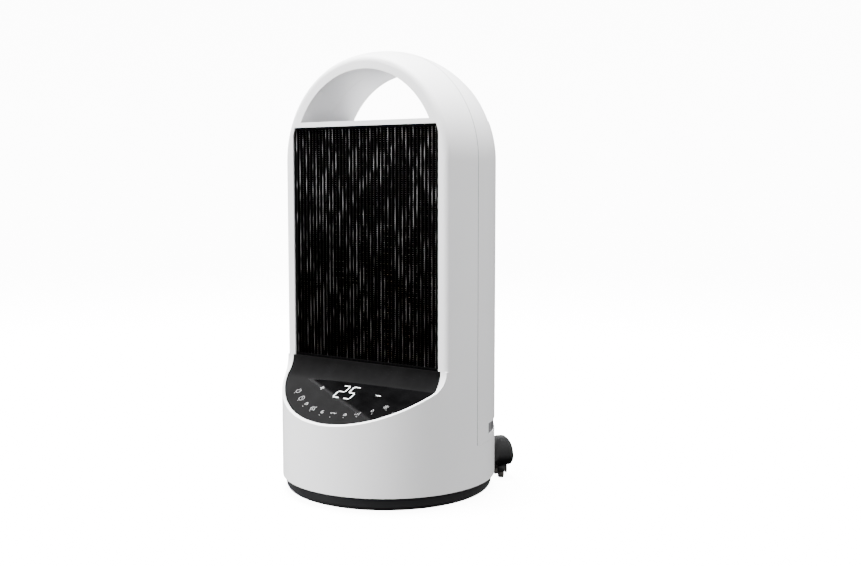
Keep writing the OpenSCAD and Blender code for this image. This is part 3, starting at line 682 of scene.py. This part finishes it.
def ribbon(bm, points, width, to_world, closed=False, height=0.12 * MM):
    """A raised flat line of even width along 2D points, with mitred corners."""
    line = [Vector(p) for p in points]
    count = len(line)
    sides = []
    for i, at in enumerate(line):
        before = line[i - 1] if closed or i else at
        after = line[(i + 1) % count] if closed or i < count - 1 else at
        back, ahead = (at - before).normalized(), (after - at).normalized()
        back, ahead = back if back.length else ahead, ahead if ahead.length else back
        along = (back + ahead).normalized() if (back + ahead).length > 1e-6 else ahead
        across = Vector((-along.y, along.x))
        across *= width / 2 / max(0.5, across.dot(Vector((-ahead.y, ahead.x))))
        sides.append((at + across, at - across))
    loft(bm, [[to_world(p, h) for p, h in ((left, 0), (left, height), (right, height), (right, 0))]
              for left, right in sides], wrap=closed)


def on_panel(x, y):
    """Turns marks drawn in millimetres along the slope, round a point seen from above, into world points."""
    origin = Vector((x * MM, y * MM, panel_height(y * MM)))
    clear = 0.02 * MM
    return lambda p, h: origin + ACROSS * (p.x * MM) + UP_SLOPE * (p.y * MM) + PANEL_NORMAL * (h + clear)


SEGMENTS = {"2": "abged", "5": "afgcd"}
DIGIT_WIDTH, DIGIT_HEIGHT, DIGIT_LEAN, DIGIT_STROKE, DIGIT_GAP = 7.3, 16.5, 0.12, 1.05, 0.55


def digit(bm, which, x, y):
    """A seven-segment digit, its strokes cut apart at the corners."""
    w, h, gap = DIGIT_WIDTH, DIGIT_HEIGHT, DIGIT_GAP
    ends = {
        "a": ((gap, h), (w - gap, h)), "g": ((gap, h / 2), (w - gap, h / 2)), "d": ((gap, 0), (w - gap, 0)),
        "f": ((0, h / 2 + gap), (0, h - gap)), "e": ((0, gap), (0, h / 2 - gap)),
        "b": ((w, h / 2 + gap), (w, h - gap)), "c": ((w, gap), (w, h / 2 - gap)),
    }
    for name in SEGMENTS[which]:
        points = [(px - w / 2 + DIGIT_LEAN * (py - h / 2), py - h / 2) for px, py in ends[name]]
        ribbon(bm, points, DIGIT_STROKE, on_panel(x, y))


def icon_shapes():
    """Plain marks for a heater's functions, each a list of (points, closed), about 5 mm across."""
    power = [(arc(0, 0, 2.3, 125, 415, 16), False), ([(0, 0.6), (0, 2.9)], False)]
    clock = [(arc(0, 0, 2.4, 0, 345, 18), True), ([(0, 1.5), (0, 0), (1.1, -0.6)], False)]
    blade_at = {turn: (1.25 * math.cos(math.radians(turn)), 1.25 * math.sin(math.radians(turn)))
                for turn in (90, 210, 330)}
    fan = [(arc(*at, 1.05, turn - 140, turn + 110, 10), False) for turn, at in blade_at.items()]
    heat = [([(x + 0.45 * math.sin(k * 1.05), -2.3 + k * 0.58) for k in range(9)], False)
            for x in (-1.7, 0, 1.7)]
    swing = [(arc(0, -1.2, 2.7, 35, 145, 12), False), ([(-2.9, 1.4), (-2.2, 0.35), (-1.0, 0.8)], False),
             ([(2.9, 1.4), (2.2, 0.35), (1.0, 0.8)], False)]
    moon = [(arc(0, 0, 2.3, 70, 320, 16) + arc(0.95, 0.55, 1.75, 300, 90, 10), True)]
    lock = [([(-1.7, -2.2), (1.7, -2.2), (1.7, 0.3), (-1.7, 0.3)], True),
            (arc(0, 0.5, 1.15, 0, 180, 8), False)]
    bars = [([(x, -2), (x, -2 + rise)], False) for x, rise in ((-1.8, 1.4), (0, 2.7), (1.8, 4))]
    drop = [([(0, 2.6)] + arc(0, -0.6, 1.6, 30, -210, 14), True)]
    sun = [(arc(0, 0, 1.1, 0, 330, 11), True)]
    sun += [([(1.8 * math.cos(a), 1.8 * math.sin(a)), (2.6 * math.cos(a), 2.6 * math.sin(a))], False)
            for a in (k * math.pi / 4 for k in range(8))]
    return [power, clock, fan, heat, moon, swing, lock, bars, drop, sun]


ICON_RING = 85.5
# Degrees round the axis from straight ahead, and size.
ICON_PLACES = [(-40, 1.1), (-31, 1.2), (-23, 0.75), (-15, 1.2), (-6, 0.7), (2, 1.05), (11, 0.7), (19, 1.05),
               (28, 0.7), (36, 1)]


def add_marks():
    """The display's digits, plus and minus, and the arc of function marks along the panel's lower edge."""
    bright, dim = bmesh.new(), bmesh.new()
    digit(bright, "2", -8.2, -59.2)
    digit(bright, "5", 3.7, -59.2)
    sign_stroke = 0.9
    on_plus, on_minus = on_panel(-32.5, -58), on_panel(32.9, -58)
    ribbon(dim, [(-2.4, 0), (2.4, 0)], sign_stroke, on_plus)
    for end in (-1, 1):
        ribbon(dim, [(0, end * 0.45), (0, end * 2.4)], sign_stroke, on_plus)
    ribbon(bright, [(-2.6, 0), (2.6, 0)], sign_stroke, on_minus)
    for shapes, (angle, size) in zip(icon_shapes(), ICON_PLACES):
        turn = math.radians(angle)
        x, y = ICON_RING * math.sin(turn), -ICON_RING * math.cos(turn)
        for points, closed in shapes:
            ribbon(dim, [(size * px, size * py) for px, py in points], 0.34, on_panel(x, y), closed)
        # A short dash between the mark and the panel's edge.
        ribbon(dim, [(-0.3, 0), (0.3, 0)], 0.5, on_panel(x * 1.045, y * 1.045))
    # The nearest slot of the record is the white one; the marks wear their own glowing print.
    for name, bm, print_material in (("panel_digits", bright, PRINT), ("panel_icons", dim, DIM_PRINT)):
        dress(place(add_mesh(name, bm, smooth=False), "body", "shell_white"), print_material)


# ---------------------------------------------------------------- back of the heater

def add_painted_seam_shadow():
    """Thin grey strip, a hair proud of the gap where the shells meet, as painted shadow of that gap: over the
    dome and down both sides.
    """
    low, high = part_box("rear_shell")
    proud, half, depth = 0.03 * MM, 0.3 * MM, 0.4 * MM
    radius = (high.x - low.x) / 2 + proud
    centre_z = high.z - radius + proud

    def line(r):
        return [(r, low.z)] + arc(0, centre_z, r, 0, 180, 72) + [(-r, low.z)]

    bm = bmesh.new()
    loft(bm, [[Vector((x, -half, z)), Vector((x, half, z)), Vector((ix, half, iz)), Vector((ix, -half, iz))]
              for (x, z), (ix, iz) in zip(line(radius), line(radius - depth))])
    # Painted shadow: a grey strip standing for the shade inside the narrow gap where the shells meet.
    place(add_mesh("painted_seam_shadow", bm, smooth=False), "body", "vent_grey")


def add_filter_net():
    """Woven dust net of single threads behind the filter cover's slots."""
    low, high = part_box("filter_mesh")
    radius = high.y - 1.4 * MM
    pitch, thick, margin = 2.4 * MM, 0.35 * MM, 2 * MM
    half = math.asin((high.x - 3 * MM) / radius)
    section = [(thick * math.cos(a), thick * math.sin(a)) for a in (0, 1.57, 3.14, 4.71)]
    bm = bmesh.new()
    across = int(2 * half * radius / pitch)
    for i in range(across + 1):
        turn = -half + 2 * half * i / across
        x, y = radius * math.sin(turn), radius * math.cos(turn)
        loft(bm, [[Vector((x + a, y + b, z)) for a, b in section] for z in (low.z + margin, high.z - margin)])
    bends = 16
    turns = [-half + 2 * half * i / bends for i in range(bends + 1)]
    for k in range(int((high.z - low.z - 2 * margin) / pitch) + 1):
        z = low.z + margin + k * pitch
        loft(bm, [[Vector(((radius + a) * math.sin(turn), (radius + a) * math.cos(turn), z + b))
                   for a, b in section] for turn in turns])
    place(add_mesh("filter_netting", bm), "filter", "filter_net")


def add_vent():
    """Louvred strip that sits almost flush round the back: two rails with upright fins between them."""
    low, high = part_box("vent_strip")
    outer, inner = 99.4 * MM, 95.2 * MM
    rail, play, recess = 1.5 * MM, 0.1 * MM, 0.4 * MM
    start = math.degrees(math.asin(low.y / high.y)) + 0.3
    end = 180 - start
    bm = bmesh.new()

    def band(from_angle, to_angle, z0, z1, steps, r1=outer):
        angles = [math.radians(from_angle + (to_angle - from_angle) * i / steps) for i in range(steps + 1)]
        loft(bm, [[Vector((r * math.cos(a), r * math.sin(a), z))
                   for r, z in ((inner, z0), (r1, z0), (r1, z1), (inner, z1))] for a in angles])

    band(start, end, low.z + play, low.z + rail, 60)
    band(start, end, high.z - rail, high.z - play, 60)
    fins, fin_width, end_width = 76, 0.9, 5
    for k in range(fins + 1):
        angle = start + (end - start - fin_width) * k / fins
        band(angle, angle + fin_width, low.z + rail, high.z - rail, 1, outer - recess)
    band(start, start + end_width, low.z + rail, high.z - rail, 4)
    band(end - end_width, end, low.z + rail, high.z - rail, 4)
    bevel(place(add_mesh("vent_louvres", bm, smooth=False), "body", "vent_grey", "vent_strip"), 0.12 * MM)


def add_rocker_marks():
    """The usual line and ring moulded into the power rocker."""
    low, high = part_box("power_rocker")
    z = (low.z + high.z) / 2
    sunk, side, stroke, height = 0.75 * MM, 4.6 * MM, 0.5, 0.5 * MM
    bm = bmesh.new()

    def on_rocker(at_x):
        return lambda p, h: Vector((at_x - p.x * MM, high.y - sunk + h, z + p.y * MM))

    ribbon(bm, [(0, -1.8), (0, 1.8)], stroke, on_rocker(-side), height=height)
    ribbon(bm, arc(0, 0, 1.6, 0, 340, 17), stroke, on_rocker(side), closed=True, height=height)
    place(add_mesh("rocker_marks", bm, smooth=False), "rocker", "shell_white")


# ---------------------------------------------------------------- floor and light

def stage_material(name, colour, emission):
    """Dull and self-lit, so that the sweep comes out white."""
    material, tree, shader, where = principled(name)
    tree.links.new(shades(tree, noise(tree, where, 0.5, 2), [c * 0.99 for c in colour], colour),
                   shader.inputs["Base Color"])
    shader.inputs["Roughness"].default_value = 0.9
    shader.inputs["Specular IOR Level"].default_value = 0.0
    shader.inputs["Emission Color"].default_value = (1, 1, 1, 1)
    shader.inputs["Emission Strength"].default_value = emission
    return material


def add_floor():
    """A white sweep: floor, round corner and wall in one. Only the camera sees it, so it bounces no light."""
    hole, flat, corner, wall, top = 0.02, 2.6, 1.2, 3.8, 4.5
    profile = [(hole, 0), (1.2, 0), (flat, 0)] + arc(flat, corner, corner, -80, 0, 8) + [(wall, top)]
    turns = [2 * math.pi * i / 72 for i in range(72)]
    bm = bmesh.new()
    rows = loft(bm, [[Vector((r * math.cos(a), r * math.sin(a), z)) for a in turns] for r, z in profile],
                close_ends=False)
    bm.faces.new(rows[0])
    floor = add_mesh("floor", bm)
    floor.location.z = -0.15 * MM
    dress(floor, stage_material("floor_pale", (0.9, 0.9, 0.9), 11))
    floor.visible_diffuse = False
    floor.visible_glossy = False


def add_light(name, at, aim_height, size, power):
    """A soft rectangular lamp aimed at the heater's axis, itself not mirrored in anything."""
    data = bpy.data.lights.new(name, "AREA")
    data.shape = "RECTANGLE"
    data.size, data.size_y = size
    data.energy = power
    light = add_object(name, data)
    light.location = at
    light.rotation_euler = (Vector((0, 0, aim_height)) - Vector(at)).to_track_quat("-Z", "Y").to_euler()
    light.visible_glossy = False


def add_world(below, above):
    """White surroundings of one strength below the heater and another above it."""
    world = bpy.data.worlds.new("studio")
    world.use_nodes = True
    tree = world.node_tree
    split = tree.nodes.new("ShaderNodeSeparateXYZ")
    tree.links.new(tree.nodes.new("ShaderNodeTexCoord").outputs["Generated"], split.inputs["Vector"])
    background = tree.nodes["Background"]
    tree.links.new(remap(tree, split.outputs["Z"], below, above, -0.7, 0.7), background.inputs["Strength"])
    background.inputs["Color"].default_value = (1, 1, 1, 1)
    bpy.context.scene.world = world


def add_studio():
    """Floor, surroundings and three lamps: strongest from above, then from the left."""
    add_floor()
    add_world(below=0.02, above=1.22)
    add_light("key_overhead", (-0.2, 0.05, 1.9), aim_height=0.25, size=(1.0, 1.0), power=260)
    add_light("left_softbox", (-1.25, -1.8, 1.0), aim_height=0.2, size=(1.0, 1.4), power=140)
    add_light("right_softbox", (1.7, 0.1, 1.7), aim_height=0.2, size=(1.2, 1.2), power=36)


# ---------------------------------------------------------------- assembly

add_camera()
cord, cord_length = add_cord()
tie = add_coil_tie()
gland = add_gland()
plug = add_plug()
blades = add_plug_pins()

dress_cad()
add_slats()
add_guard()
add_slat_edges()
add_panel()
add_marks()
add_painted_seam_shadow()
add_filter_net()
add_vent()
add_rocker_marks()
add_studio()
